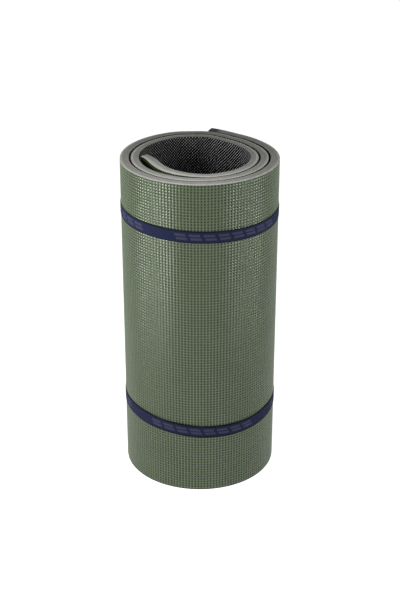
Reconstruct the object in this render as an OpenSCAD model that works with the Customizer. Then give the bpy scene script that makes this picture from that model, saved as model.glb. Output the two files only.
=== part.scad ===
// Rolled camping mat of two-layer closed-cell foam, standing on its end.
// Two sewn elastic bands hold the roll and slide along it.
// Angles run counter-clockwise seen from above, with 0 along +X. They keep
// counting past 360 as the sheet winds outwards from the hollow.

/* [Mat] */
// Length of the flat sheet, from its inner end to its outer end
mat_length = 2000; // [1900:10:2040]
// Width of the sheet, which is the height of the standing roll
mat_width = 600; // [520:10:650]
// Thickness of the sheet, both layers together
mat_thick = 16; // [14:0.5:16.5]
// Thickness of the green layer on the outer face
green_thick = 5; // [2:0.5:6]

/* [Roll] */
// Diameter of the round part of the roll
roll_d = 280; // [270:1:300]
// Air between one turn and the next
air_gap = 1.5; // [1:0.1:2]
// Direction of the sheet's outer end
end_angle = 82.5; // [80:0.5:84]
// How far the outer end springs away from the turn below it
end_lift = 3; // [0:0.5:4]
// How far the inner end cuts straight across the hollow
inner_bow = 23; // [10:1:24]

/* [Bands] */
// Width of the elastic webbing
band_w = 22; // [20:1:30]
// Thickness of the elastic webbing
band_thick = 1.5; // [1.5:0.1:2]
// Height of the upper band's middle
upper_band_z = 507; // [400:1:560]
// Height of the lower band's middle
lower_band_z = 127; // [40:1:200]
// Length of webbing doubled and sewn where a band's ends meet
lap_length = 26; // [20:1:30]

/* [Hidden] */

// The sheet's middle runs at one radius per turn and climbs one pitch a turn.
roll_r = roll_d / 2;
pitch = mat_thick + air_gap;
outer_mid_r = roll_r - mat_thick / 2;
inner_mid_r = outer_mid_r - 2 * pitch;

// A turn climbs over the sheet's outer end, in a steep stretch and a gentle one.
climb_start = 56;
climb_middle = 79;
steep_span = 34;
steep_share = 0.76;
gentle_start = 92;
gentle_span = 22;

// Where the sheet ends: outside at end_angle, inside where the length runs out.
last_angle = end_angle + 3 * 360;
outer_turn_length = outer_mid_r * (360 + end_angle - climb_middle) * PI / 180;
middle_turn_length = (outer_mid_r - pitch) * 2 * PI;
inner_length = mat_length - outer_turn_length - middle_turn_length;
first_angle = climb_middle + 360 - inner_length / inner_mid_r * 180 / PI;

// The inner end is straighter than the hollow for this many degrees.
bow_span = 100;
bow_onset = 0.13;
// The outer end springs away over this many degrees.
lift_span = 18.5;
// Angle from one point of the sheet's outline to the next, and its rounded steps
sheet_steps = ceil((last_angle - first_angle) / 3);
sheet_step = (last_angle - first_angle) / sheet_steps;
// Half the angle over which the sheet's direction is measured
probe = 0.05;

// The bands lie this far off the sheet.
band_gap = 0.4;
// Air between the two webbing layers in the lap
lap_air = 0.1;
// The lap starts here, on the far side of the roll from the sheet's inner end.
lap_angle = 135;
lap_rise_span = 6;
lap_span = lap_length / roll_r * 180 / PI;
// The band leaves the round part here, follows the climbing sheet, bends over
// the corner of its end and meets the round part again.
leave_angle = 54;
climb_run_angles = [63, 69, 72, 75, 78];
corner = sheet_point(last_angle, mat_thick / 2);
meet_angle = atan2(corner[1], corner[0]) + acos(roll_r / norm(corner));

// Rubber strands woven into the webbing
strands = 6;
strand_w = 1.6;
strand_thick = 0.7;
strand_pitch = (band_w - 4) / (strands - 1);
strand_depth = (band_thick - strand_thick) / 2;

// Stitch rows across the lap
stitch_rows = 4;
stitches_per_row = 7;
stitch_w = 0.6;
stitch_length = 2;
stitch_proud = 0.3;

// The origin is under the middle of the part's outline, so the roll's axis is
// moved back by half of what the sheet's outer end adds to the depth.
end_reach = corner[1] + (band_gap + band_thick) * sin(end_angle);
axis_y = (roll_r + band_gap + band_thick - end_reach) / 2;

// Smooth rise from 0 to 1 as t goes from 0 to 1
function ease(t) = let (u = max(0, min(1, t))) u * u * (3 - 2 * u);

// Share of one pitch climbed at an angle of one turn
function climb(a) =
    steep_share * ease((a - climb_start) / steep_span)
    + (1 - steep_share) * ease((a - gentle_start) / gentle_span);

// How far the inner end bows into the hollow, largest a little past its tip
function bow(a) =
    let (u = (a - first_angle) / bow_span)
    u < 1 ? inner_bow * (1 - u) * (1 - exp(-u / bow_onset)) - 2 * (1 - u) * (1 - u) : 0;

// How far the outer end springs up
function lift(a) = end_lift * pow(max(0, 1 - (last_angle - a) / lift_span), 2);

// Radius of the sheet's middle at an angle
function mid_r(a) =
    inner_mid_r + pitch * (climb(a - 360) + climb(a - 720) + climb(a - 1080)) - bow(a) + lift(a);

function on_polar(r, a) = [r * cos(a), r * sin(a)];

// A point of the sheet at an angle, out from its middle by depth
function sheet_point(a, depth) =
    let (
        along = on_polar(mid_r(a + probe), a + probe) - on_polar(mid_r(a - probe), a - probe),
        out = [along[1], -along[0]] / norm(along)
    )
    on_polar(mid_r(a), a) + depth * out;

// One layer of the rolled sheet, between two depths from its middle
module sheet_layer(inside, outside) {
    angles = [for (i = [0 : sheet_steps]) first_angle + i * sheet_step];
    outer_face = [for (a = angles) sheet_point(a, outside)];
    inner_face = [for (i = [sheet_steps : -1 : 0]) sheet_point(angles[i], inside)];
    translate([0, axis_y, 0])
        linear_extrude(mat_width)
            polygon(concat(outer_face, inner_face));
}

// Radius of a band's inner face on the round part: the last stretch rides over the first.
function band_r(a) =
    roll_r + band_gap
    + (band_thick + lap_air) * ease((a - lap_angle - 360 + lap_rise_span) / lap_rise_span);

// Where a band lies on the round part, on the climbing sheet, or else over the corner.
// The spare degree keeps the first and last points of the round part on it.
spare = 1;
function on_round(a) = a < leave_angle + 360 + spare || a > meet_angle + 360 - spare;
function on_climb(a) = a < end_angle + 360 - spare;

// A point of a band's path at an angle, out from its inner face by depth
function band_point(a, depth) =
    on_round(a) ? on_polar(band_r(a) + depth, a)
    : on_climb(a) ? sheet_point(a + 720, mat_thick / 2 + band_gap + depth)
    : corner + on_polar(band_gap + depth, end_angle);

// Angles of a band's path, from its lower end under the lap, once round to its upper end
band_step = 5;
round_steps = floor((leave_angle + 360 - lap_angle) / band_step);
band_angles = concat(
    [for (i = [0 : round_steps]) lap_angle + i * (leave_angle + 360 - lap_angle) / round_steps],
    [for (a = climb_run_angles) a + 360],
    [end_angle + 360],
    [for (i = [0 : 4]) meet_angle + 360 + i * (lap_angle - lap_rise_span - meet_angle) / 4],
    [for (i = [1 : 4]) lap_angle + 360 - lap_rise_span + i * lap_rise_span / 4],
    [for (i = [1 : 3]) lap_angle + 360 + i * lap_span / 3]
);

// A strip along a band's path, from one height in its thickness to another
module band_strip(low, high, bottom_z, top_z) {
    last = len(band_angles) - 1;
    inner_face = [for (a = band_angles) band_point(a, low)];
    outer_face = [for (i = [last : -1 : 0]) band_point(band_angles[i], high)];
    translate([0, axis_y, bottom_z])
        linear_extrude(top_z - bottom_z)
            polygon(concat(inner_face, outer_face));
}

// All rubber strands of one band, evenly spread over its width
module strands_at(z) {
    for (i = [0 : strands - 1]) {
        strand_z = z + (i - (strands - 1) / 2) * strand_pitch;
        band_strip(strand_depth, strand_depth + strand_thick, strand_z - strand_w / 2, strand_z + strand_w / 2);
    }
}

// One stitch on the outer face of the lap, pressed a little into the webbing
module stitch(a, z) {
    face_r = roll_r + band_gap + 2 * band_thick + lap_air;
    rotate([0, 0, a])
        translate([face_r, -stitch_w / 2, z - stitch_length / 2])
            cube([stitch_proud, stitch_w, stitch_length]);
}

// Rows of stitches across the lap
module stitching_at(z) {
    translate([0, axis_y, 0])
        for (row = [0 : stitch_rows - 1])
            for (i = [0 : stitches_per_row - 1])
                stitch(
                    lap_angle + (row + 0.5) * lap_span / stitch_rows,
                    z + (i - (stitches_per_row - 1) / 2) * (band_w - 3) / stitches_per_row
                );
}

// Woven elastic webbing with a channel for each rubber strand
module webbing_at(z) {
    difference() {
        band_strip(0, band_thick, z - band_w / 2, z + band_w / 2);
        strands_at(z);
    }
}

module mat_green_layer() {
    color("#6E7D64")
        sheet_layer(mat_thick / 2 - green_thick, mat_thick / 2);
}

module mat_grey_layer() {
    color("#5C5C58")
        sheet_layer(-mat_thick / 2, mat_thick / 2 - green_thick);
}

module upper_band_webbing() {
    color("#262A4A")
        webbing_at(upper_band_z);
}

module upper_band_rubber_threads() {
    color("#C9C2B4")
        strands_at(upper_band_z);
}

module upper_band_stitching() {
    color("#14162A")
        stitching_at(upper_band_z);
}

module lower_band_webbing() {
    color("#262A4A")
        webbing_at(lower_band_z);
}

module lower_band_rubber_threads() {
    color("#C9C2B4")
        strands_at(lower_band_z);
}

module lower_band_stitching() {
    color("#14162A")
        stitching_at(lower_band_z);
}

mat_green_layer();
mat_grey_layer();
upper_band_webbing();
upper_band_rubber_threads();
upper_band_stitching();
lower_band_webbing();
lower_band_rubber_threads();
lower_band_stitching();
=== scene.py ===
import math

import bmesh
import bpy
import numpy as np
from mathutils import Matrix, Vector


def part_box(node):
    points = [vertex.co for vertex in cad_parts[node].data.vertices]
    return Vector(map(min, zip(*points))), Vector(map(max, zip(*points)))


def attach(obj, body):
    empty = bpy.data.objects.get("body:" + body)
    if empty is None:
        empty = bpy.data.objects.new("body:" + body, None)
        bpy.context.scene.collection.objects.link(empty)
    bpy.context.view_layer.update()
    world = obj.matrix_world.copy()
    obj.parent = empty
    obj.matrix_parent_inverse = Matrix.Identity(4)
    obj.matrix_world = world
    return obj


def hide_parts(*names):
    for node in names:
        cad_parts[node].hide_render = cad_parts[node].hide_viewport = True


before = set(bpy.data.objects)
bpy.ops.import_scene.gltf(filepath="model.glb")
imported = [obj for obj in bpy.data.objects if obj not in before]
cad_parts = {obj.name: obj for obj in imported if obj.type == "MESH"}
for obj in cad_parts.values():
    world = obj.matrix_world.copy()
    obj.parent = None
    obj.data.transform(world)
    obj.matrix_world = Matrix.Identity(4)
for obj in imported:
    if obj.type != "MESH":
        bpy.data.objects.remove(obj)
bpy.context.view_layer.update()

# Lengths are in millimetres and angles in degrees until a mesh is made. Angles run
# counter-clockwise seen from above, with 0 along +X. They keep counting past 360 as
# the sheet winds outwards from the hollow.
MM = 0.001
TAU = 2 * math.pi

# ---------------------------------------------------------------- the roll
# The sheet, its layers and the air between its turns
green_low, green_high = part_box("mat_green_layer")
MAT_WIDTH = (green_high.z - green_low.z) / MM
MAT_LENGTH = 2000.0
MAT_THICK = 16.0
GREEN_THICK = 5.0
ROLL_R = 140.0
AIR_GAP = 1.5

# The outer end springs away from the turn below it.
END_ANGLE = 82.5
END_LIFT = 3.0
LIFT_SPAN = 18.5

# The inner end cuts across the hollow.
INNER_BOW = 23.0
BOW_SPAN = 100.0
BOW_ONSET = 0.13
TIP_DROP = 2.0

# Each turn climbs over the outer end, in a steep stretch and a gentle one.
CLIMB_START = 56.0
CLIMB_MIDDLE = 79.0
STEEP_SPAN = 34.0
STEEP_SHARE = 0.76
GENTLE_START = 92.0
GENTLE_SPAN = 22.0

# Foam that nothing presses swells: the outermost turn inwards and the inner end outwards.
TURN_SWELL = 1.8
FLAP_SWELL = 2.6
FLAP_SWELL_RISE = 0.25
FLAP_SWELL_FALL = 0.5

# The roll is a little flattened at its right back.
SQUEEZE = 2.6
SQUEEZE_ANGLE = 36.0
SQUEEZE_SPAN = 22.0

PITCH = MAT_THICK + AIR_GAP
INTERFACE = MAT_THICK / 2 - GREEN_THICK
AXIS_Y = green_low.y / MM + ROLL_R
OUTER_MID_R = ROLL_R - MAT_THICK / 2
INNER_MID_R = OUTER_MID_R - 2 * PITCH
OUTER_TURN = OUTER_MID_R * math.radians(360 + END_ANGLE - CLIMB_MIDDLE)
MIDDLE_TURN = (OUTER_MID_R - PITCH) * TAU
INNER_LENGTH = MAT_LENGTH - OUTER_TURN - MIDDLE_TURN
FIRST_ANGLE = CLIMB_MIDDLE + 360 - math.degrees(INNER_LENGTH / INNER_MID_R)
LAST_ANGLE = END_ANGLE + 3 * 360
# Half the angle over which the sheet's direction is measured
PROBE = 0.05
SPIRAL_SAMPLES = 9001

# ---------------------------------------------------------------- the embossed faces
# Square pits on the green face: their number along and up the sheet, and their depth
WAFFLE_COLUMNS = 370
WAFFLE_ROWS = 114
WAFFLE_DEPTH = 1.0
# The whole green face lies this far in, so that the bands stand proud of it.
WAFFLE_SET_BACK = 0.65
# Crossing ribs on the grey face
RIB_PERIOD = 5.7
RIB_DEPTH = 0.8
# How far the softened cut edges reach up a face, and how far the grey face turns in there
EDGE_SOFT = 0.6
SKIN_ROUND = 1.1
# The green face shows on the outermost turn, which starts at the seam, and beside the
# inner end. The grey face shows in the hollow.
SEAM_ANGLE = LAST_ANGLE - 366
GREEN_FLAP_SPAN = 105.0
GREY_FLAP_SPAN = 470.0
# Rows of relief kept at each cut edge where little shows, and the spacing of levels between
GREEN_FLAP_EDGE = (20, 30)
GREEN_HIDDEN_EDGE = (4, 30)
GREY_HIDDEN_EDGE = (2, 40)

# ---------------------------------------------------------------- the bands
BAND_W = 22.0
LOWER_BAND_EXTRA_W = 2.0
WEB_THICK = 0.85
# The webbing's inner face, outwards from the roll's CAD surface, is just off the rims of
# the pits. It lies a little further out where it climbs over the sheet's end.
WEB_GAP = -0.5
CLIMB_AIR = 0.15
# Length between two points of a band's path
PATH_STEP = 2.5

# A band leaves the round part, follows the climbing sheet and meets the round part again.
LEAVE_ANGLE = 54.0
CLIMB_RUN = (63.0, 69.0, 72.0, 75.0, 78.0)

# The lap: the last stretch of webbing rises over the first.
LAP_AIR = 0.1
LAP_ANGLE = 135.0
LAP_LENGTH = 26.0
LAP_RISE = 6.0
LAP_RISE_POINTS = 9
LAP_SPAN = math.degrees(LAP_LENGTH / ROLL_R)

# How a band's middle strays from its CAD height: a rise, a tilt and a sag at the front
UPPER_RISE = 1.1
UPPER_TILT_X = 2.6
UPPER_TILT_Y = 2.1
LOWER_RISE = 7.6
LOWER_TILT_X = 1.5
LOWER_SAG = 10.6
LOWER_SAG_ANGLE = -72.0
LOWER_SAG_SPAN = 56.0

# Section of the webbing: thinner selvedges, and ribs along it
SELVEDGE_LOSS = 0.55
WEB_RIB = 0.07
WEB_RIB_PERIOD = 3.6
WEB_EDGE_IN = 0.25
WEB_EDGE_LIFT = 0.12
WEB_OUTER_POINTS = 41
WEB_INNER_POINTS = 7

# Rubber strands inside the webbing, just proud of its two ends. The swell makes up for
# the flats of their sides.
STRANDS = 6
STRAND_W = 1.6
STRAND_THICK = 0.45
STRAND_SWELL = 1.05
STRAND_MARGIN = 4.0
STRAND_PROUD = 0.3
STRAND_SINK = 0.03
STRAND_SIDES = 8

# Stitches across the lap: each is a bowed thread, thinner where it dips into the webbing
STITCH_ROWS = 4
STITCHES_PER_ROW = 7
STITCH_MARGIN = 3.0
STITCH_BOW = 0.28
STITCH_DIP = 0.2
STITCH_R = 0.27
STITCH_TAPER = 0.6
STITCH_SLANT = 0.25
STITCH_HALF = 1.15
THREAD_POINTS = 9
THREAD_SIDES = 8

# Slanted bars woven into the webbing, in groups with a blank between. Each pair is where
# a soft edge starts and ends, from the middle of the bar or of the webbing.
MOTIF_REPEAT = 260.0
MOTIF_GROUP = 200.0
MOTIF_STEP = 25.0
MOTIF_SLANT = 0.45
MOTIF_BAR = (9.0, 10.0)
MOTIF_BAND = (5.0, 5.8)
MOTIF_SPLIT = (0.6, 1.4)
SELVEDGE_START = (8.6, 9.8)
UPPER_MOTIF_START = -45.0
LOWER_MOTIF_START = -95.0

# ---------------------------------------------------------------- colours, darker one first
OLIVE = ((0.044, 0.068, 0.0265), (0.0535, 0.0805, 0.034))
# painted highlight on the waffle's ridges
OLIVE_RIDGE_HIGHLIGHT = (0.092, 0.129, 0.066)
# painted shade in the waffle's pits
OLIVE_PIT_SHADE = (0.006, 0.0095, 0.004)
# charcoal foam darkened as painted shade, and a light grey painted highlight for the ribs
CHARCOAL_SHADE_AND_RIB_HIGHLIGHT = ((0.0008, 0.0008, 0.0009), (0.44, 0.43, 0.435))
GREEN_CUT = ((0.205, 0.209, 0.187), (0.465, 0.473, 0.426))
# painted shade: a darker copy of the green cut colours for the sheet's end faces
GREEN_END_SHADE = ((0.040, 0.042, 0.036), (0.110, 0.114, 0.098))
GREY_CUT = ((0.126, 0.124, 0.117), (0.28, 0.28, 0.261))
# painted shade: a darker copy of the grey cut colours for the sheet's end faces
GREY_END_SHADE = ((0.022, 0.022, 0.020), (0.070, 0.069, 0.064))
# painted shade for the cut foam at the sheet's outer end
PAINTED_END_SHADE = (0.03, 0.03, 0.027)
NAVY = ((0.0076, 0.0110, 0.0335), (0.0135, 0.0185, 0.0545))
NAVY_EDGE = (0.0030, 0.0036, 0.012)
SLATE = ((0.028, 0.031, 0.056), (0.046, 0.051, 0.086))
CREAM = ((0.50, 0.45, 0.36), (0.68, 0.64, 0.56))
THREAD = ((0.006, 0.007, 0.020), (0.024, 0.028, 0.075))
PAPER = ((0.50, 0.50, 0.50), (0.53, 0.53, 0.53))

# ---------------------------------------------------------------- lights and camera
# Name, place, aim, size and power, in metres and watts
LIGHTS = (
    ("left_softbox", (-1.08, -0.52, 0.84), (0, 0, 0.42), (0.26, 0.65), 18.0),
    ("right_softbox", (1.05, -0.49, 0.84), (0, 0, 0.42), (0.22, 0.65), 8.6),
    ("top_softbox", (-0.02, -0.11, 0.78), (-0.02, -0.115, 0.6), (0.16, 0.1), 0.27),
)
WORLD_STRENGTH = 0.05
FLOOR_GLOW = 1.0
FLOOR_SIZE = 120
CAMERA_LENS = 78.86
CAMERA_SENSOR = 36
CAMERA_PITCH = 26.19
CAMERA_DISTANCE = 2.4076
CAMERA_X = 0.00033
CAMERA_AIM_HEIGHT = 0.32125


# ---------------------------------------------------------------- the spiral
def ease(t):
    """Smooth rise from 0 to 1 as t goes from 0 to 1."""
    u = np.clip(t, 0, 1)
    return u * u * (3 - 2 * u)


def climb(a):
    """Share of one pitch climbed at an angle of one turn."""
    steep = ease((a - CLIMB_START) / STEEP_SPAN)
    gentle = ease((a - GENTLE_START) / GENTLE_SPAN)
    return STEEP_SHARE * steep + (1 - STEEP_SHARE) * gentle


def bow(a):
    """How far the inner end cuts into the hollow."""
    u = np.clip((a - FIRST_ANGLE) / BOW_SPAN, -0.01, 1)
    return INNER_BOW * (1 - u) * (1 - np.exp(-u / BOW_ONSET)) - TIP_DROP * (1 - u) ** 2


def lift(a):
    """How far the outer end springs up."""
    return END_LIFT * np.clip(1 - (LAST_ANGLE - a) / LIFT_SPAN, 0, None) ** 2


def turned(a, middle):
    """The angle from middle to a, between -180 and 180."""
    return (a - middle + 180) % 360 - 180


def squeeze(a):
    """How far the roll is flattened at an angle."""
    return SQUEEZE * np.exp(-((turned(a, SQUEEZE_ANGLE) / SQUEEZE_SPAN) ** 2))


def mid_r(a):
    """Radius of the sheet's middle at an angle."""
    climbs = climb(a - 360) + climb(a - 720) + climb(a - 1080)
    loosened = TURN_SWELL * (1 - climb(a - 720))
    return INNER_MID_R + PITCH * climbs - bow(a) + lift(a) - loosened - squeeze(a)


def polar(r, a):
    t = np.radians(a)
    return np.stack([r * np.cos(t), r * np.sin(t)], -1)


def sheet_line(a):
    """Points on the sheet's middle and the outward directions there."""
    along = polar(mid_r(a + PROBE), a + PROBE) - polar(mid_r(a - PROBE), a - PROBE)
    out = np.stack([along[..., 1], -along[..., 0]], -1)
    out /= np.linalg.norm(out, axis=-1, keepdims=True)
    return polar(mid_r(a), a), out


def running_length(points):
    """Length of a line of points up to each of them."""
    steps = np.linalg.norm(np.diff(points, axis=0), axis=1)
    return np.concatenate([[0], np.cumsum(steps)])


TABLE_ANGLES = np.linspace(FIRST_ANGLE, LAST_ANGLE, SPIRAL_SAMPLES)
TABLE_LENGTHS = running_length(sheet_line(TABLE_ANGLES)[0])
LINE_LENGTH = float(TABLE_LENGTHS[-1])
WAFFLE_U = LINE_LENGTH / WAFFLE_COLUMNS
WAFFLE_V = MAT_WIDTH / WAFFLE_ROWS
# The cut foam is darkened at the outer end with painted shade, which sets in over this stretch.
END_SHADE_STRETCH = (LINE_LENGTH - 23, LINE_LENGTH - 14)
END_SHADE_SHARE = 0.75


def length_at(angle):
    return float(np.interp(angle, TABLE_ANGLES, TABLE_LENGTHS))


def angle_at(length):
    return float(np.interp(length, TABLE_LENGTHS, TABLE_ANGLES))


# ---------------------------------------------------------------- meshes
def link(obj):
    bpy.context.scene.collection.objects.link(obj)
    return obj


def closed_mesh(name, points, faces):
    """A mesh of points in millimetres round the roll's axis, with its faces turned outwards."""
    placed = points * MM
    placed[:, 1] += AXIS_Y * MM
    mesh = bpy.data.meshes.new(name)
    mesh.from_pydata(placed.tolist(), [], faces)
    work = bmesh.new()
    work.from_mesh(mesh)
    bmesh.ops.recalc_face_normals(work, faces=work.faces)
    work.to_mesh(mesh)
    work.free()
    return mesh


def corner_points(mesh):
    """The number of the point at each corner of each face."""
    points = np.empty(len(mesh.loops), np.int32)
    mesh.loops.foreach_get("vertex_index", points)
    return points


def set_uv(mesh, corner_uv):
    layer = mesh.uv_layers.new(name="sheet")
    layer.data.foreach_set("uv", corner_uv.astype(np.float32).ravel())


def swept_mesh(name, vertices, marks, faces, material):
    """A mesh with one material from lists of swept points and their marks."""
    mesh = closed_mesh(name, np.concatenate(vertices), faces)
    set_uv(mesh, np.concatenate(marks)[corner_points(mesh)])
    mesh.materials.append(material)
    return mesh


# ---------------------------------------------------------------- node materials
class Graph:
    """A node material, built from short calls."""

    def __init__(self, name):
        self.material = bpy.data.materials.new(name)
        self.material.use_nodes = True
        self.tree = self.material.node_tree
        self.tree.nodes.clear()
        self.out = self.node("ShaderNodeOutputMaterial")

    def node(self, kind, **props):
        n = self.tree.nodes.new(kind)
        for key, value in props.items():
            setattr(n, key, value)
        return n

    def put(self, socket, value):
        if isinstance(value, bpy.types.NodeSocket):
            self.tree.links.new(value, socket)
        else:
            socket.default_value = value

    def math(self, operation, a, b=0.0, c=0.0):
        n = self.node("ShaderNodeMath", operation=operation)
        for i, value in enumerate((a, b, c)):
            self.put(n.inputs[i], value)
        return n.outputs[0]

    def add(self, a, b):
        return self.math("ADD", a, b)

    def times(self, a, b):
        return self.math("MULTIPLY", a, b)

    def minus(self, a, b):
        return self.math("SUBTRACT", a, b)

    def scaled(self, value, scale, offset):
        return self.math("MULTIPLY_ADD", value, scale, offset)

    def step(self, value, low, high):
        """0 at low, 1 at high and smooth between them. The low value may be the larger one."""
        n = self.node("ShaderNodeMapRange", interpolation_type="SMOOTHSTEP")
        self.put(n.inputs["Value"], value)
        n.inputs["From Min"].default_value = low
        n.inputs["From Max"].default_value = high
        return n.outputs["Result"]

    def uv(self):
        """Millimetres along and up the piece."""
        n = self.node("ShaderNodeUVMap", uv_map="sheet")
        parts = self.node("ShaderNodeSeparateXYZ")
        self.put(parts.inputs[0], n.outputs[0])
        return parts.outputs[0], parts.outputs[1]

    def vector(self, x, y, z=0.0):
        n = self.node("ShaderNodeCombineXYZ")
        for i, value in enumerate((x, y, z)):
            self.put(n.inputs[i], value)
        return n.outputs[0]

    def wave(self, value, period):
        """Cosine of a length, 1 at its repeats."""
        return self.math("COSINE", self.scaled(value, TAU / period, 0.0))

    def noise(self, vector, scale, detail=2.0, roughness=0.5):
        n = self.node("ShaderNodeTexNoise")
        self.put(n.inputs["Vector"], vector)
        n.inputs["Scale"].default_value = scale
        n.inputs["Detail"].default_value = detail
        n.inputs["Roughness"].default_value = roughness
        return n.outputs[0]

    def uneven(self, vector, scale, detail, reach):
        """Noise spread over reach, with 0 in its middle."""
        return self.scaled(self.noise(vector, scale, detail), reach, -reach / 2)

    def cells(self, vector, scale):
        n = self.node("ShaderNodeTexVoronoi")
        self.put(n.inputs["Vector"], vector)
        n.inputs["Scale"].default_value = scale
        return n.outputs["Distance"]

    def mix(self, share, low, high):
        n = self.node("ShaderNodeMix", data_type="RGBA")
        self.put(n.inputs[0], share)
        for socket, value in ((n.inputs[6], low), (n.inputs[7], high)):
            self.put(socket, (*value, 1) if isinstance(value, tuple) else value)
        return n.outputs[2]

    def bump(self, height, depth, strength=1.0, under=None):
        """A bumped normal from a height between 0 and 1, with its depth in millimetres."""
        n = self.node("ShaderNodeBump")
        self.put(n.inputs["Height"], height)
        n.inputs["Distance"].default_value = depth * MM
        n.inputs["Strength"].default_value = strength
        if under is not None:
            self.put(n.inputs["Normal"], under)
        return n.outputs[0]

    def finish(self, colour, normal, **sockets):
        shader = self.node("ShaderNodeBsdfPrincipled")
        self.put(shader.inputs["Base Color"], colour)
        self.put(shader.inputs["Normal"], normal)
        for name, value in sockets.items():
            self.put(shader.inputs[name.replace("_", " ")], value)
        self.put(self.out.inputs[0], shader.outputs[0])
        return self.material


def fine_grain(g, flat, scale):
    """The faint grain that both foam skins have."""
    return g.bump(g.noise(flat, scale, detail=3, roughness=0.6), depth=0.12, strength=0.6)


def green_skin():
    """Olive foam skin, pressed into a waffle of small square pits with flat sloping walls. The pits
    carry painted shade and the ridges a painted highlight.
    """
    pit_shade_edge = (0.72, 0.45)
    ridge_highlight_edge = (0.8, 1.05)
    row_rounding = 0.15
    g = Graph("green_foam_skin")
    s, z = g.uv()
    flat = g.vector(s, z)
    wobble = g.uneven(flat, scale=0.06, detail=2, reach=0.8)
    across = g.math("PINGPONG", s, WAFFLE_U / 2)
    down = g.math("PINGPONG", z, WAFFLE_V / 2)
    height = g.scaled(g.math("MINIMUM", across, down), -2 / WAFFLE_V, 1.0)
    rounding = g.scaled(g.wave(z, WAFFLE_V), row_rounding, g.wave(g.add(s, wobble), WAFFLE_U))
    level = g.add(height, g.uneven(flat, scale=0.35, detail=3, reach=0.3))
    broad = g.noise(flat, scale=0.018)
    patchy = g.mix(g.step(broad, low=0.3, high=0.7), *OLIVE)
    # the ridges are lightened with a painted highlight
    ridge_highlighted = g.mix(g.step(level, *ridge_highlight_edge), patchy, OLIVE_RIDGE_HIGHLIGHT)
    # the pits are darkened with painted shade
    colour = g.mix(g.step(level, *pit_shade_edge), ridge_highlighted, OLIVE_PIT_SHADE)
    normal = g.bump(rounding, depth=0.2, under=fine_grain(g, flat, scale=2.4))
    gloss = {"Roughness": 0.275, "Specular_IOR_Level": 0.65, "Specular_Tint": (0.92, 1, 0.86, 1)}
    return g.finish(colour, normal, **gloss)


def grey_skin():
    """Near-black foam skin with slanted ribs, cut into dashes by fainter grooves across them. The ribs
    carry a painted highlight, and between them the charcoal is darkened to near black as painted shade.
    """
    rib_share = 0.7
    cross_share = 0.3
    rib_highlight_edge = (0.52, 0.85)
    g = Graph("grey_foam_skin")
    s, z = g.uv()
    flat = g.vector(s, z)
    leaning = g.times(g.wave(g.add(s, z), RIB_PERIOD), rib_share)
    lattice = g.scaled(g.wave(g.minus(s, z), RIB_PERIOD), cross_share, leaning)
    ragged = g.add(lattice, g.uneven(flat, scale=0.3, detail=2, reach=0.5))
    # the ribs get a painted highlight, the rest painted shade
    ribs = g.step(ragged, *rib_highlight_edge)
    normal = g.bump(lattice, depth=RIB_DEPTH, under=fine_grain(g, flat, scale=2.0))
    return g.finish(g.mix(ribs, *CHARCOAL_SHADE_AND_RIB_HIGHLIGHT), normal, Roughness=0.7, Specular_IOR_Level=0.12)


def cut_foam(name, colours, streak_share):
    """Cut closed-cell foam: fine cells, and streaks that the blade left along the sheet."""
    blotch_share = 0.35
    cell_share = 0.22
    along_scale = 0.03
    across_scale = 0.9
    g = Graph(name)
    along, across = g.uv()
    flat = g.vector(along, across)
    drawn_out = g.vector(g.times(along, along_scale), g.times(across, across_scale))
    streak = g.noise(drawn_out, scale=1.0, detail=4, roughness=0.6)
    blotch = g.noise(flat, scale=0.12, detail=3)
    cells = g.cells(flat, scale=1.1)
    share = g.times(streak, streak_share)
    share = g.add(share, g.times(blotch, blotch_share))
    share = g.add(share, g.times(cells, cell_share))
    plain = g.mix(g.step(share, low=0.25, high=0.95), *colours)
    # painted shade darkens the cut near the outer end
    end_shade = g.times(g.step(along, *END_SHADE_STRETCH), END_SHADE_SHARE)
    ridges = g.bump(streak, depth=0.7, strength=0.5)
    normal = g.bump(cells, depth=0.35, strength=0.6, under=ridges)
    return g.finish(g.mix(end_shade, plain, PAINTED_END_SHADE), normal, Roughness=0.75, Specular_IOR_Level=0.3)


def motif(g, s, z, start):
    """1 on the slanted bars woven into the webbing, 0 elsewhere."""
    repeat = g.math("FLOORED_MODULO", g.minus(s, start), MOTIF_REPEAT)
    in_group = g.math("LESS_THAN", repeat, MOTIF_GROUP)
    slanted = g.math("FLOORED_MODULO", g.scaled(z, MOTIF_SLANT, repeat), MOTIF_STEP)
    from_bar = g.math("ABSOLUTE", g.minus(slanted, MOTIF_STEP / 2))
    bar = g.minus(1.0, g.step(from_bar, *MOTIF_BAR))
    off_middle = g.math("ABSOLUTE", z)
    in_band = g.minus(1.0, g.step(off_middle, *MOTIF_BAND))
    rows = g.times(g.step(off_middle, *MOTIF_SPLIT), in_band)
    return g.times(g.times(bar, rows), in_group)


def webbing(name, motif_start):
    """Woven navy elastic: fine ribs along it, darker selvedges and slanted slate bars in groups."""
    warp_period = 1.15
    weft_period = 1.8
    weft_shift = 0.45
    weft_share = 0.4
    g = Graph(name)
    s, z = g.uv()
    flat = g.vector(s, z)
    warp = g.wave(z, warp_period)
    weft = g.wave(g.add(s, g.times(g.math("SIGN", warp), weft_shift)), weft_period)
    weave = g.times(warp, g.scaled(weft, weft_share, 1 - weft_share))
    lint = g.noise(flat, scale=0.9, detail=3, roughness=0.6)
    light = g.step(g.add(weave, lint), low=-0.6, high=1.6)
    edge = g.step(g.math("ABSOLUTE", z), *SELVEDGE_START)
    edged = g.mix(edge, g.mix(light, *NAVY), NAVY_EDGE)
    colour = g.mix(motif(g, s, z, motif_start), edged, g.mix(light, *SLATE))
    cloth = g.bump(weave, depth=0.22, strength=0.8)
    normal = g.bump(lint, depth=0.2, strength=0.4, under=cloth)
    return g.finish(colour, normal, Roughness=0.85, Specular_IOR_Level=0.12)


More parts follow.
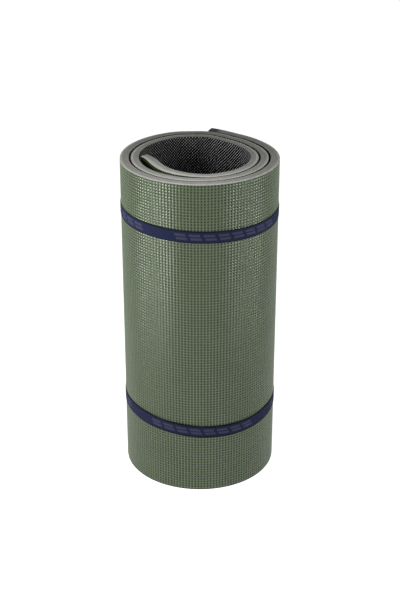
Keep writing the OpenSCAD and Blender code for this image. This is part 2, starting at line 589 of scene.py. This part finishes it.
def rubber():
    """Natural rubber strands, cream and slightly dusty."""
    g = Graph("raw_rubber")
    s, z = g.uv()
    dust = g.noise(g.vector(s, z), scale=1.4, detail=4, roughness=0.6)
    colour = g.mix(g.step(dust, low=0.3, high=0.75), *CREAM)
    normal = g.bump(dust, depth=0.1, strength=0.5)
    return g.finish(colour, normal, Roughness=0.7)


def thread():
    """Navy sewing thread with the slanting lines of its twisted plies."""
    ply_period = 0.5
    g = Graph("navy_thread")
    s, z = g.uv()
    plies = g.wave(g.add(s, z), ply_period)
    colour = g.mix(g.step(plies, low=-1.0, high=1.0), *THREAD)
    normal = g.bump(plies, depth=0.08, strength=0.8)
    return g.finish(colour, normal, Roughness=0.6, Sheen_Weight=0.2)


def white_paper():
    """White paper, lit evenly from behind as on a light table."""
    g = Graph("floor_white")
    place = g.node("ShaderNodeTexCoord").outputs["Object"]
    tint = g.mix(g.noise(place, scale=3.0), *PAPER)
    normal = g.bump(g.noise(place, scale=400.0), depth=0.05, strength=0.2)
    glow = {"Emission_Color": (1, 1, 1, 1), "Emission_Strength": FLOOR_GLOW}
    return g.finish(tint, normal, Roughness=0.9, Specular_IOR_Level=0.1, **glow)


# ---------------------------------------------------------------- the foam layers
WALL_OUT, WALL_IN, CUT, END = range(4)


def march(a, za, b, zb):
    """Triangles between two columns of points whose heights differ."""
    faces = []
    i = 0
    j = 0
    while i < len(a) - 1 or j < len(b) - 1:
        if j == len(b) - 1 or (i < len(a) - 1 and za[i + 1] <= zb[j + 1]):
            faces.append((a[i], b[j], a[i + 1]))
            i += 1
        else:
            faces.append((a[i], b[j], b[j + 1]))
            j += 1
    return faces


def pit_walls(a, b, z, left):
    """Two triangles per quarter of a pit. Their shared edge runs through the pit's lowest point."""
    faces = []
    for j in range(len(a) - 1):
        if (left + round(2 * z[j] / WAFFLE_V)) % 2:
            faces += [(a[j], b[j], a[j + 1]), (b[j], b[j + 1], a[j + 1])]
        else:
            faces += [(a[j], b[j], b[j + 1]), (a[j], b[j + 1], a[j + 1])]
    return faces


def between(a, za, b, zb):
    """Faces between two columns of points, four-sided where the columns match."""
    if len(a) == len(b):
        return list(zip(a[:-1], b[:-1], b[1:], a[1:]))
    return march(a, za, b, zb)


class Layer:
    """One foam layer of the rolled sheet as a closed mesh, built column by column along the sheet."""

    def __init__(self):
        self.points = []
        self.marks = []
        self.faces = []
        self.kinds = []
        self.count = 0

    def column(self, s, face):
        """A column of points up one face. Its two end points sit inward, which softens the cut edge."""
        depth, inward, relief, levels_at = face
        levels = levels_at(s)
        z = np.concatenate([[0.0], levels, [MAT_WIDTH]])
        d = depth + relief(s, np.clip(z, levels[0], levels[-1]))
        d[[0, -1]] += inward
        centre, out = sheet_line(np.array([angle_at(s)]))
        flat = centre + d[:, None] * out
        self.points.append(np.column_stack([flat, z]))
        self.marks.append(np.column_stack([np.full(len(z), s), z, d]))
        indices = list(range(self.count, self.count + len(z)))
        self.count += len(z)
        return indices, z

    def add(self, faces, kind):
        self.faces += faces
        self.kinds += [kind] * len(faces)

    def strip(self, left, right, kind, number):
        """The faces between two columns of one wall."""
        (a, za), (b, zb) = left, right
        if kind == WALL_OUT and len(a) == len(b) > 4:
            self.add(pit_walls(a[1:-1], b[1:-1], za[1:-1], number), kind)
        else:
            self.add(between(a[1:-1], za[1:-1], b[1:-1], zb[1:-1]), kind)
        edges = [(a[0], b[0], b[1], a[1]), (a[-2], b[-2], b[-1], a[-1])]
        self.add(edges, CUT if kind == WALL_OUT else kind)

    def build(self, stations, outer, inner):
        """The whole layer. Each face is (depth, inward, relief, its heights at a length)."""
        before = None
        for i, s in enumerate(stations):
            walls = [self.column(s, face) for face in (outer, inner)]
            if before:
                self.strip(before[0], walls[0], WALL_OUT, i - 1)
                self.strip(before[1], walls[1], WALL_IN, i - 1)
                oa, ia = before[0][0], before[1][0]
                ob, ib = walls[0][0], walls[1][0]
                self.add([(oa[k], ob[k], ib[k], ia[k]) for k in (0, -1)], CUT)
            if i in (0, len(stations) - 1):
                self.add(between(*walls[0], *walls[1]), END)
            before = walls

    def obj(self, name, materials, skin):
        """The finished object. Its materials are those of the skin, the cuts and the sheet's ends,
        where a darker copy of the cut carries painted shade.
        """
        mesh = closed_mesh(name, np.concatenate(self.points), self.faces)
        kinds = np.array(self.kinds)
        for material in materials:
            mesh.materials.append(material)
        index = np.select([kinds == skin, kinds == END], [0, 2], 1)
        mesh.polygons.foreach_set("material_index", index.astype(np.int32))
        mesh.polygons.foreach_set("use_smooth", kinds == WALL_IN)
        set_uv(mesh, self.corner_uv(mesh, kinds))
        mesh.update()
        return link(bpy.data.objects.new(name, mesh))

    def corner_uv(self, mesh, kinds):
        """Millimetres along and up a face, along and through a cut, or up and through an end."""
        totals = np.empty(len(mesh.polygons), np.int32)
        mesh.polygons.foreach_get("loop_total", totals)
        corner_kinds = np.repeat(kinds, totals)
        s, z, d = np.concatenate(self.marks)[corner_points(mesh)].T
        u = np.where(corner_kinds == END, z, s)
        v = np.where(corner_kinds >= CUT, d, z)
        return np.column_stack([u, v])


def soft_levels(count):
    """Evenly spread heights. The first and last stop short of the cut edges."""
    levels = np.linspace(0, MAT_WIDTH, count + 1)
    levels[0] = EDGE_SOFT
    levels[-1] = MAT_WIDTH - EDGE_SOFT
    return levels


def edge_levels(levels, rows, spacing):
    """Every level for some rows at each end, and only widely spaced ones between."""
    n = rows * 2
    middle = np.arange(levels[n] + spacing, levels[-n - 1] - spacing / 2, spacing)
    return np.concatenate([levels[: n + 1], middle, levels[-n - 1 :]])


def bonded_face(s):
    """The heights between a column's two end points on the flat face where the layers meet."""
    return np.array([EDGE_SOFT, MAT_WIDTH - EDGE_SOFT])


def flap_swell(s):
    """How far the inner end's outer face swells outwards."""
    u = s / length_at(FIRST_ANGLE + BOW_SPAN)
    rise = ease(u / FLAP_SWELL_RISE)
    fall = ease((u - FLAP_SWELL_FALL) / (1 - FLAP_SWELL_FALL))
    return FLAP_SWELL * (rise - fall)


def waffle_relief(s, z):
    """Depth of the green outer face: pits, less the swell of the inner end."""
    across, down = (1 - np.abs(2 * np.mod(x, 1) - 1) for x in (s / WAFFLE_U, z / WAFFLE_V))
    return -WAFFLE_DEPTH * np.minimum(across, down) + flap_swell(s) - WAFFLE_SET_BACK


def rib_relief(s, z):
    """Depth of the grey inner face: crossing ribs, and the swell of the outermost turn."""
    swell = TURN_SWELL * climb(angle_at(s) - 720)
    lattice = np.cos(TAU * s / RIB_PERIOD) * np.cos(TAU * z / RIB_PERIOD)
    return RIB_DEPTH / 2 * (1 - lattice) - swell


def no_relief(s, z):
    return np.zeros_like(z)


def green_layer():
    """The outer layer. Its outer face is embossed wherever it can be seen."""
    every = soft_levels(WAFFLE_ROWS * 2)
    inner_end = edge_levels(every, *GREEN_FLAP_EDGE)
    hidden = edge_levels(every, *GREEN_HIDDEN_EDGE)
    seam = length_at(SEAM_ANGLE)
    flap = length_at(FIRST_ANGLE + GREEN_FLAP_SPAN)

    def outer_levels(s):
        return every if s > seam else inner_end if s < flap else hidden

    layer = Layer()
    layer.build(
        np.linspace(0, LINE_LENGTH, WAFFLE_COLUMNS * 2 + 1),
        (MAT_THICK / 2, -EDGE_SOFT, waffle_relief, outer_levels),
        (INTERFACE, 0.0, no_relief, bonded_face),
    )
    cut = cut_foam("green_foam_cut", GREEN_CUT, streak_share=0.8)
    # the end faces get a darker copy of the cut as painted shade
    end = cut_foam("green_foam_end_shade", GREEN_END_SHADE, streak_share=0.8)
    return layer.obj("mat_green_foam", [green_skin(), cut, end], WALL_OUT)


def grey_layer():
    """The inner layer. Its inner face shows in the hollow and beside the inner end."""
    every = soft_levels(int(MAT_WIDTH / RIB_PERIOD * 2))
    hidden = edge_levels(every, *GREY_HIDDEN_EDGE)
    shown = length_at(FIRST_ANGLE + GREY_FLAP_SPAN)

    def inner_levels(s):
        return every if s < shown else hidden

    layer = Layer()
    layer.build(
        np.linspace(0, LINE_LENGTH, int(LINE_LENGTH / RIB_PERIOD * 2) + 1),
        (INTERFACE, 0.0, no_relief, bonded_face),
        (-MAT_THICK / 2, SKIN_ROUND, rib_relief, inner_levels),
    )
    cut = cut_foam("grey_foam_cut", GREY_CUT, streak_share=0.9)
    # the end faces get a darker copy of the cut as painted shade
    end = cut_foam("grey_foam_end_shade", GREY_END_SHADE, streak_share=0.9)
    return layer.obj("mat_grey_foam", [grey_skin(), cut, end], WALL_IN)


# ---------------------------------------------------------------- a band's path
def upper_band_middle(a, middle):
    """Height of the upper band's middle: it sits a little higher on the left."""
    t = np.radians(a)
    return middle + UPPER_RISE - UPPER_TILT_X * np.cos(t) + UPPER_TILT_Y * np.sin(t)


def lower_band_middle(a, middle):
    """Height of the lower band's middle: it sags at the front."""
    sag = LOWER_SAG * np.exp(-((turned(a, LOWER_SAG_ANGLE) / LOWER_SAG_SPAN) ** 2))
    return middle + LOWER_RISE - LOWER_TILT_X * np.cos(np.radians(a)) - sag


def end_corner():
    """The outer corner of the sheet's outer end."""
    line, out = sheet_line(np.array([LAST_ANGLE]))
    return (line + MAT_THICK / 2 * out)[0]


def band_nodes():
    """Angles where a band's path bends, from under the lap once round to the lap's end."""
    corner = end_corner()
    corner_angle = math.degrees(math.atan2(corner[1], corner[0]))
    meet = corner_angle + math.degrees(math.acos(ROLL_R / np.hypot(*corner)))
    climb_run = [a + 360 for a in CLIMB_RUN]
    lap = LAP_ANGLE + 360
    rise = list(np.linspace(lap - LAP_RISE, lap, LAP_RISE_POINTS))
    nodes = [LAP_ANGLE, LEAVE_ANGLE + 360, *climb_run, END_ANGLE + 360, meet + 360, *rise]
    return nodes + [lap + LAP_SPAN], meet + 360


def band_point(a, meet):
    """A point of a band's inner face: on the round part, on the climbing sheet or over its corner."""
    if a <= LEAVE_ANGLE + 360 or a >= meet:
        rise = float(ease((a - LAP_ANGLE - 360 + LAP_RISE) / LAP_RISE))
        return polar(ROLL_R + WEB_GAP + (WEB_THICK + LAP_AIR) * rise - squeeze(a), a)
    if a < END_ANGLE + 360:
        line, out = sheet_line(np.array([a + 720]))
        return (line + (MAT_THICK / 2 + WEB_GAP + CLIMB_AIR) * out)[0]
    return end_corner() + polar(WEB_GAP + CLIMB_AIR, END_ANGLE)


def band_path():
    """Points, outward directions, angles and lengths along the inner face of a band."""
    nodes, meet = band_nodes()
    angles = []
    points = []
    for low, high in zip(nodes[:-1], nodes[1:]):
        n = max(2, math.ceil(math.radians(high - low) * ROLL_R / PATH_STEP))
        t = np.linspace(0, 1, n + 1)[: n + 1 if high == nodes[-1] else n]
        a = low + (high - low) * t
        if LEAVE_ANGLE + 360 <= low < meet:
            start, end = band_point(low, meet), band_point(high, meet)
            points.append(start + (end - start) * t[:, None])
        else:
            points.append(np.array([band_point(x, meet) for x in a]))
        angles.append(a)
    points = np.concatenate(points)
    along = np.gradient(points, axis=0)
    out = np.stack([along[:, 1], -along[:, 0]], -1)
    out /= np.linalg.norm(out, axis=1, keepdims=True)
    return points, out, np.concatenate(angles), running_length(points)


PATH_POINTS, PATH_OUT, PATH_ANGLES, PATH_LENGTHS = band_path()
FRONT_LENGTH = float(np.interp(270.0, PATH_ANGLES, PATH_LENGTHS))


# ---------------------------------------------------------------- the bands' pieces
def sweep(points, out, heights, lengths, section, offset=0):
    """Vertices, faces and marks of a closed section of (outward, up) pairs swept along a path."""
    n, m = len(points), len(section)
    outward, up = section[:, 0], section[:, 1]
    flat = points[:, None, :] + outward[None, :, None] * out[:, None, :]
    z = heights[:, None] + up[None, :]
    vertices = np.dstack([flat, z]).reshape(-1, 3)
    marks = np.stack([np.repeat(lengths, m), np.tile(up, n)], -1)
    ids = np.arange(n * m).reshape(n, m) + offset
    a, b = ids[:-1], ids[1:]
    sides = np.stack([a, b, np.roll(b, -1, 1), np.roll(a, -1, 1)], -1).reshape(-1, 4)
    faces = sides.tolist() + [ids[0].tolist(), ids[-1].tolist()]
    return vertices, faces, marks


def swept_object(name, parts, material):
    """One object from several swept parts, smooth along their sides."""
    vertices = []
    marks = []
    faces = []
    offset = 0
    for part in parts:
        part_vertices, part_faces, part_marks = sweep(*part, offset=offset)
        vertices.append(part_vertices)
        marks.append(part_marks)
        faces += part_faces
        offset += len(part_vertices)
    mesh = swept_mesh(name, vertices, marks, faces, material)
    mesh.polygons.foreach_set("use_smooth", np.array([len(f) == 4 for f in faces]))
    mesh.update()
    return link(bpy.data.objects.new(name, mesh))


def web_section(width):
    """Section of the webbing: ribbed outside, rounded selvedges, flat inside."""
    up = np.linspace(-1, 1, WEB_OUTER_POINTS)
    selvedge = 1 - SELVEDGE_LOSS * np.abs(up) ** 10
    ribs = WEB_RIB * np.cos(TAU * up * width / 2 / WEB_RIB_PERIOD)
    outside = WEB_THICK * selvedge + ribs * (1 - np.abs(up) ** 6) - WEB_RIB
    outer = np.stack([outside, up * width / 2], -1)
    inner_up = np.linspace(1, -1, WEB_INNER_POINTS) * (width / 2 - WEB_EDGE_IN)
    at_edge = np.abs(inner_up) > width / 2 - 2 * WEB_EDGE_IN
    inner = np.stack([np.where(at_edge, WEB_EDGE_LIFT, 0.0), inner_up], -1)
    return np.concatenate([outer, inner])


def strand_section(up):
    """Section of a rubber strand, at a height in the webbing."""
    t = np.linspace(0, TAU, STRAND_SIDES + 1)[:-1] + TAU / STRAND_SIDES / 2
    outward = np.cos(t) * STRAND_THICK / 2 * STRAND_SWELL
    upward = np.sin(t) * STRAND_W / 2 * STRAND_SWELL
    return np.stack([outward, upward], -1) + np.array([WEB_THICK / 2 - STRAND_SINK, up])


def strand_parts(heights):
    """Sweeps of all rubber strands, evenly spread over the webbing."""
    spacing = (BAND_W - STRAND_MARGIN) / (STRANDS - 1)
    keep = np.unique(np.r_[np.arange(0, len(PATH_POINTS), 2), len(PATH_POINTS) - 1])
    points = PATH_POINTS[keep].copy()
    points[0] -= (points[1] - points[0]) / np.linalg.norm(points[1] - points[0]) * STRAND_PROUD
    points[-1] += (points[-1] - points[-2]) / np.linalg.norm(points[-1] - points[-2]) * STRAND_PROUD
    for i in range(STRANDS):
        up = (i - (STRANDS - 1) / 2) * spacing
        yield points, PATH_OUT[keep], heights[keep], PATH_LENGTHS[keep], strand_section(up)


def stitch_places(middle):
    """Angle and height of each stitch, in rows across the lap."""
    for row in range(STITCH_ROWS):
        angle = LAP_ANGLE + (row + 0.5) * LAP_SPAN / STITCH_ROWS
        for i in range(STITCHES_PER_ROW):
            up = (i - (STITCHES_PER_ROW - 1) / 2) * (BAND_W - STITCH_MARGIN) / STITCHES_PER_ROW
            yield angle, float(middle(angle)) + up


def stitch(angle, height):
    """Rings of points and marks of one stitch, from its lower end to its upper."""
    face_r = ROLL_R + WEB_GAP + 2 * WEB_THICK + LAP_AIR
    t = np.linspace(-1, 1, THREAD_POINTS)
    ring = np.linspace(0, TAU, THREAD_SIDES + 1)[:-1]
    out = polar(1.0, angle)
    side = np.array([-out[1], out[0]])
    bowed = face_r + STITCH_BOW * (1 - t**2) - STITCH_DIP
    thick = STITCH_R * (1 - STITCH_TAPER * np.abs(t) ** 3)
    vertices = []
    marks = []
    for share, r, w in zip(t, bowed, thick):
        flat = out * r + side * (STITCH_SLANT * share)
        circle = flat + np.cos(ring)[:, None] * w * out + np.sin(ring)[:, None] * w * side
        up = share * STITCH_HALF
        vertices.append(np.column_stack([circle, np.full(len(ring), height + up)]))
        marks.append(np.column_stack([np.full(len(ring), up), ring * w]))
    return vertices, marks


def stitching(name, middle, material):
    """All stitches of one lap, as one object."""
    vertices = []
    marks = []
    faces = []
    for number, (angle, height) in enumerate(stitch_places(middle)):
        stitch_vertices, stitch_marks = stitch(angle, height)
        vertices += stitch_vertices
        marks += stitch_marks
        size = THREAD_POINTS * THREAD_SIDES
        ids = np.arange(size).reshape(THREAD_POINTS, THREAD_SIDES) + number * size
        a, b = ids[:-1], ids[1:]
        sides = np.stack([a, np.roll(a, -1, 1), np.roll(b, -1, 1), b], -1)
        faces += sides.reshape(-1, 4).tolist()
        faces += [ids[0].tolist(), ids[-1].tolist()]
    mesh = swept_mesh(name, vertices, marks, faces, material)
    mesh.polygons.foreach_set("use_smooth", np.ones(len(mesh.polygons), bool))
    return link(bpy.data.objects.new(name, mesh))


def band(which, middle_at, width, motif_start, rubber_material, thread_material):
    """Webbing, rubber strands and stitching of one band, each riding on the band's body."""
    low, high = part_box(which + "_webbing")
    centre = (low.z + high.z) / 2 / MM

    def middle(a):
        return middle_at(a, centre)

    heights = middle(PATH_ANGLES)
    cloth = webbing(which + "_cloth", FRONT_LENGTH + motif_start)
    web_part = (PATH_POINTS, PATH_OUT, heights, PATH_LENGTHS, web_section(width))
    web = swept_object(which + "_web", [web_part], cloth)
    strands = swept_object(which + "_strands", strand_parts(heights), rubber_material)
    sewn = stitching(which + "_sewing", middle, thread_material)
    for obj, node, slot in (
        (web, "_webbing", "navy_webbing"),
        (strands, "_rubber_threads", "raw_rubber"),
        (sewn, "_stitching", "navy_thread"),
    ):
        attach(obj, which)
        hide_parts(which + node)


# ---------------------------------------------------------------- stage, lights, camera
def floor():
    bpy.ops.mesh.primitive_plane_add(size=FLOOR_SIZE)
    plane = bpy.context.active_object
    plane.name = "floor"
    plane.data.materials.append(white_paper())


def look(direction):
    """Turn for an object whose -Z is to face along direction, with its top up."""
    x, y, z = direction
    flat = math.hypot(x, y)
    return (math.atan2(flat, -z), 0.0, math.atan2(-x, y))


def area_light(name, place, aim, size, power):
    lamp = bpy.data.lights.new(name, "AREA")
    lamp.shape = "RECTANGLE"
    lamp.size, lamp.size_y = size
    lamp.energy = power
    obj = link(bpy.data.objects.new(name, lamp))
    obj.location = place
    obj.rotation_euler = look(np.array(aim, float) - np.array(place, float))
    obj.visible_camera = False


def lights():
    world = bpy.data.worlds.new("white_room")
    world.use_nodes = True
    background = world.node_tree.nodes["Background"]
    background.inputs[0].default_value = (1, 1, 1, 1)
    background.inputs[1].default_value = WORLD_STRENGTH
    bpy.context.scene.world = world
    for light in LIGHTS:
        area_light(*light)


def camera():
    """A long lens that looks down on the roll from the front."""
    down = math.radians(CAMERA_PITCH)
    data = bpy.data.cameras.new("camera")
    data.lens = CAMERA_LENS
    data.sensor_width = CAMERA_SENSOR
    data.dof.use_dof = False
    obj = link(bpy.data.objects.new("camera", data))
    back = CAMERA_DISTANCE * math.cos(down)
    up = CAMERA_DISTANCE * math.sin(down)
    obj.location = (CAMERA_X, AXIS_Y * MM - back, CAMERA_AIM_HEIGHT + up)
    obj.rotation_euler = (math.pi / 2 - down, 0, 0)
    bpy.context.scene.camera = obj


bpy.context.scene.view_settings.view_transform = "Standard"

green = green_layer()
grey = grey_layer()
for foam, node, slot_name in (
    (green, "mat_green_layer", "green_foam"),
    (grey, "mat_grey_layer", "grey_foam"),
):
    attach(foam, "mat")
    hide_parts(node)

raw = rubber()
sewing = thread()
band("upper_band", upper_band_middle, BAND_W, UPPER_MOTIF_START, raw, sewing)
band("lower_band", lower_band_middle, BAND_W + LOWER_BAND_EXTRA_W, LOWER_MOTIF_START, raw, sewing)

floor()
lights()
camera()
